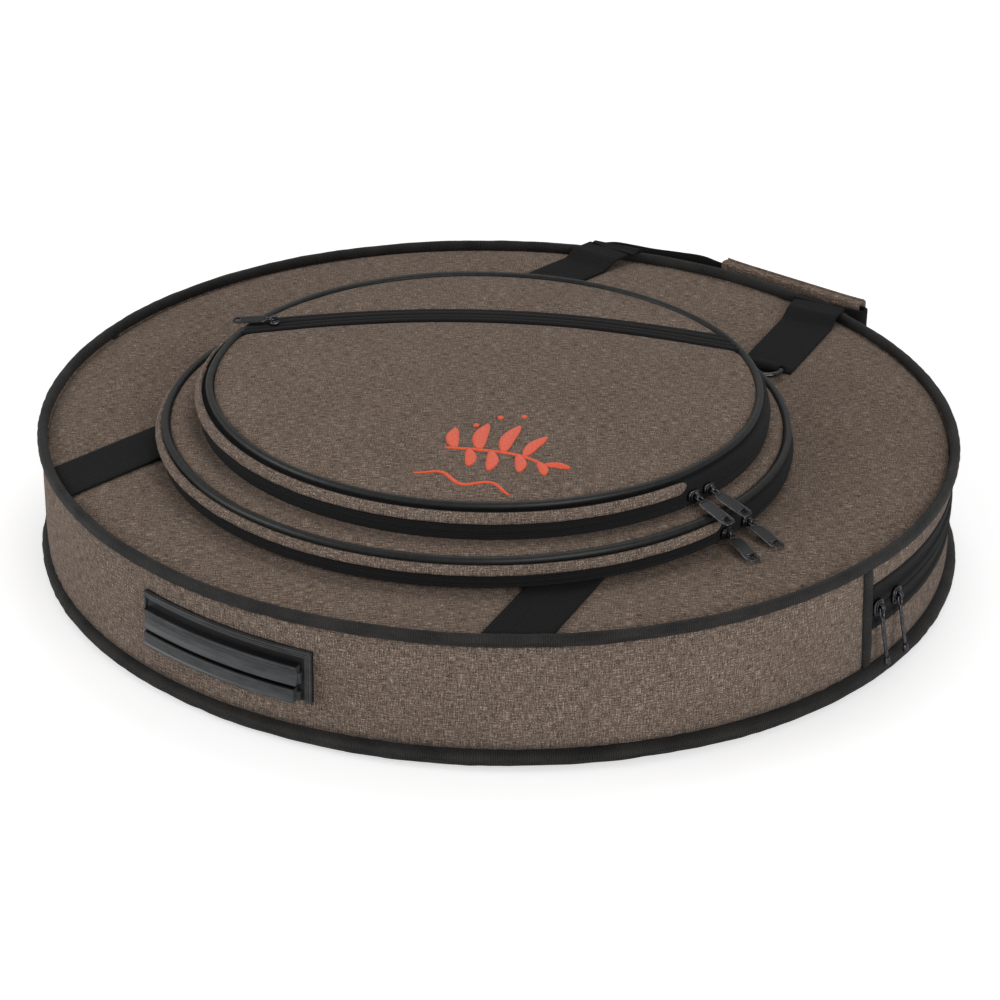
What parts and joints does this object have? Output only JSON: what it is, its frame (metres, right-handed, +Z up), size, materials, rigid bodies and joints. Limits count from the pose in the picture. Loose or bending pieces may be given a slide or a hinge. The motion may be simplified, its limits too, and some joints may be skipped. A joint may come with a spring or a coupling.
{
  "type": "cymbal bag",
  "caption": "Round padded fabric bag with a side zip round its far half, two stacked round zipped pockets, sewn straps, carry handles and a moulded rub plate.",
  "frame": {"origin": "middle of the round back panel's outer face, on the floor it lies on", "axes": "+Z up through the thickness, towards the pockets; +Y towards the carry handles; -Y towards the rub plate"},
  "size_m": [0.6201, 0.6588, 0.1327],
  "materials": {
    "heather_fabric": "woven melange polyester, matt",
    "black_trim": "ribbed binding tape",
    "zip_tape": "zip tape with coil chain",
    "black_webbing": "flat woven webbing",
    "dark_lining": "soft lining over foam",
    "rub_plastic": "moulded, fine matt texture",
    "dark_metal": "blackened"
  },
  "bodies": {
    "case": {"back_cover": "heather_fabric", "back_padding": "dark_lining", "lower_binding": "black_trim", "gusset_cover": "heather_fabric", "rub_plate": "rub_plastic", "gusset_binding_left": "black_trim", "gusset_binding_right": "black_trim", "gusset_lower_strip": "heather_fabric", "main_zip_tape_lower": "zip_tape", "front_cover": "heather_fabric", "front_padding": "dark_lining", "upper_binding": "black_trim", "gusset_upper_left": "heather_fabric", "gusset_upper_right": "heather_fabric", "main_zip_tape_left": "zip_tape", "main_zip_tape_right": "zip_tape", "strap_left": "black_webbing", "strap_right": "black_webbing", "pocket_one_tape_lower": "zip_tape"},
    "mouth_flap": {"flap_cover": "heather_fabric", "flap_padding": "dark_lining", "flap_binding": "black_trim", "gusset_upper_flap": "heather_fabric", "main_zip_tape_flap": "zip_tape", "strap_end_left": "black_webbing", "strap_end_right": "black_webbing"},
    "front_handle": {"handle_front": "black_webbing", "handle_wrap": "heather_fabric"},
    "wrap_flap": {"handle_wrap_flap": "heather_fabric"},
    "back_handle": {"handle_back": "black_webbing"},
    "divider_leaf": {"divider": "dark_lining"},
    "pocket_one_lid": {"pocket_one_tape_upper": "zip_tape", "pocket_one_storm_flap": "heather_fabric", "pocket_one_piping": "black_trim", "pocket_one_top": "heather_fabric", "pocket_two_tape_lower": "zip_tape"},
    "pocket_two_lid": {"pocket_two_tape_upper": "zip_tape", "pocket_two_storm_flap": "heather_fabric", "pocket_two_piping": "black_trim", "pocket_two_top": "heather_fabric", "slip_pocket_top": "heather_fabric", "slip_zip_tape": "zip_tape", "slip_pocket_lining": "dark_lining"},
    "left_ring": {"ring_left": "dark_metal"},
    "right_ring": {"ring_right": "dark_metal"},
    "main_near_slider_body": {"main_near_slider": "dark_metal"},
    "main_near_pull_body": {"main_near_pull": "dark_metal"},
    "main_far_slider_body": {"main_far_slider": "dark_metal"},
    "main_far_pull_body": {"main_far_pull": "dark_metal"},
    "pocket_one_left_slider_body": {"pocket_one_left_slider": "dark_metal"},
    "pocket_one_left_pull_body": {"pocket_one_left_pull": "dark_metal"},
    "pocket_one_right_slider_body": {"pocket_one_right_slider": "dark_metal"},
    "pocket_one_right_pull_body": {"pocket_one_right_pull": "dark_metal"},
    "pocket_two_left_slider_body": {"pocket_two_left_slider": "dark_metal"},
    "pocket_two_left_pull_body": {"pocket_two_left_pull": "dark_metal"},
    "pocket_two_right_slider_body": {"pocket_two_right_slider": "dark_metal"},
    "pocket_two_right_pull_body": {"pocket_two_right_pull": "dark_metal"},
    "slip_slider_body": {"slip_slider": "dark_metal"},
    "slip_pull_body": {"slip_pull": "dark_metal"}
  },
  "joints": [
    {"name": "mouth_fold", "type": "hinge", "parent": "case", "child": "mouth_flap", "pos_m": [0, 0.19194, 0.089], "axis": [1, 0, 0], "range_deg": [0, 75]},
    {"name": "front_handle_swing", "type": "hinge", "parent": "mouth_flap", "child": "front_handle", "pos_m": [0, 0.289, 0.0913], "axis": [-1, 0, 0], "range_deg": [-110, 0]},
    {"name": "wrap_flap_opens", "type": "hinge", "parent": "front_handle", "child": "wrap_flap", "pos_m": [-0.00987, 0.32194, 0.0888], "axis": [-0.9956, 0.0933, 0], "range_deg": [-150, 0]},
    {"name": "back_handle_lift", "type": "hinge", "parent": "case", "child": "back_handle", "pos_m": [0, 0.29687, 0.002], "axis": [1, 0, 0], "range_deg": [0, 45]},
    {"name": "divider_lift", "type": "hinge", "parent": "case", "child": "divider_leaf", "pos_m": [0, -0.2957, 0.042], "axis": [1, 0, 0], "range_deg": [0, 2.6]},
    {"name": "pocket_one_opens", "type": "hinge", "parent": "case", "child": "pocket_one_lid", "pos_m": [-0.09895, 0.13899, 0.0916], "axis": [-0.8572, -0.515, 0], "range_deg": [0, 60]},
    {"name": "pocket_two_opens", "type": "hinge", "parent": "pocket_one_lid", "child": "pocket_two_lid", "pos_m": [-0.08774, 0.1292, 0.112], "axis": [0.8572, 0.515, 0], "range_deg": [-75, 0]},
    {"name": "left_ring_lifts", "type": "hinge", "parent": "case", "child": "left_ring", "pos_m": [-0.10714, 0.16564, 0.08955], "axis": [-1, 0, 0], "range_deg": [0, 90]},
    {"name": "right_ring_lifts", "type": "hinge", "parent": "case", "child": "right_ring", "pos_m": [0.10714, 0.16564, 0.08955], "axis": [-1, 0, 0], "range_deg": [0, 90]},
    {"name": "main_near_slider_runs", "type": "hinge", "parent": "case", "child": "main_near_slider_body", "pos_m": [0, 0, 0.052], "axis": [0, 0, 1], "range_deg": [0, 1.9]},
    {"name": "main_near_pull_swings", "type": "hinge", "parent": "main_near_slider_body", "child": "main_near_pull_body", "pos_m": [0.30282, -0.0329, 0.052], "axis": [-0.108, -0.9942, 0], "range_deg": [0, 125]},
    {"name": "main_far_slider_runs", "type": "hinge", "parent": "case", "child": "main_far_slider_body", "pos_m": [0, 0, 0.052], "axis": [0, 0, 1], "range_deg": [0, 185]},
    {"name": "main_far_pull_swings", "type": "hinge", "parent": "main_far_slider_body", "child": "main_far_pull_body", "pos_m": [0.30438, -0.01169, 0.052], "axis": [-0.0384, -0.9993, 0], "range_deg": [0, 125]},
    {"name": "pocket_one_left_slider_runs", "type": "hinge", "parent": "case", "child": "pocket_one_left_slider_body", "pos_m": [0.0071, -0.0375, 0.0916], "axis": [0, 0, 1], "range_deg": [-155, 0]},
    {"name": "pocket_one_left_pull_swings", "type": "hinge", "parent": "pocket_one_left_slider_body", "child": "pocket_one_left_pull_body", "pos_m": [0.21415, -0.06881, 0.0916], "axis": [-0.1495, -0.9888, 0], "range_deg": [0, 55]},
    {"name": "pocket_one_right_slider_runs", "type": "hinge", "parent": "case", "child": "pocket_one_right_slider_body", "pos_m": [0.0071, -0.0375, 0.0916], "axis": [0, 0, 1], "range_deg": [0, 50]},
    {"name": "pocket_one_right_pull_swings", "type": "hinge", "parent": "pocket_one_right_slider_body", "child": "pocket_one_right_pull_body", "pos_m": [0.21627, -0.04736, 0.0916], "axis": [-0.0471, -0.9989, 0], "range_deg": [0, 55]},
    {"name": "pocket_two_left_slider_runs", "type": "hinge", "parent": "pocket_one_lid", "child": "pocket_two_left_slider_body", "pos_m": [0.0078, -0.0298, 0.112], "axis": [0, 0, 1], "range_deg": [-155, 0]},
    {"name": "pocket_two_left_pull_swings", "type": "hinge", "parent": "pocket_two_left_slider_body", "child": "pocket_two_left_pull_body", "pos_m": [0.19192, -0.07248, 0.112], "axis": [-0.2258, -0.9742, 0], "range_deg": [0, 55]},
    {"name": "pocket_two_right_slider_runs", "type": "hinge", "parent": "pocket_one_lid", "child": "pocket_two_right_slider_body", "pos_m": [0.0078, -0.0298, 0.112], "axis": [0, 0, 1], "range_deg": [0, 50]},
    {"name": "pocket_two_right_pull_swings", "type": "hinge", "parent": "pocket_two_right_slider_body", "child": "pocket_two_right_pull_body", "pos_m": [0.1946, -0.05855, 0.112], "axis": [-0.1521, -0.9884, 0], "range_deg": [0, 55]},
    {"name": "slip_slider_runs", "type": "hinge", "parent": "pocket_two_lid", "child": "slip_slider_body", "pos_m": [0.25188, -0.43602, 0.1271], "axis": [0, 0, -1], "range_deg": [0, 28.6]},
    {"name": "slip_pull_swings", "type": "hinge", "parent": "slip_slider_body", "child": "slip_pull_body", "pos_m": [-0.1559, -0.04061, 0.1303], "axis": [-0.7179, 0.6961, 0], "range_deg": [0, 150]}
  ]
}
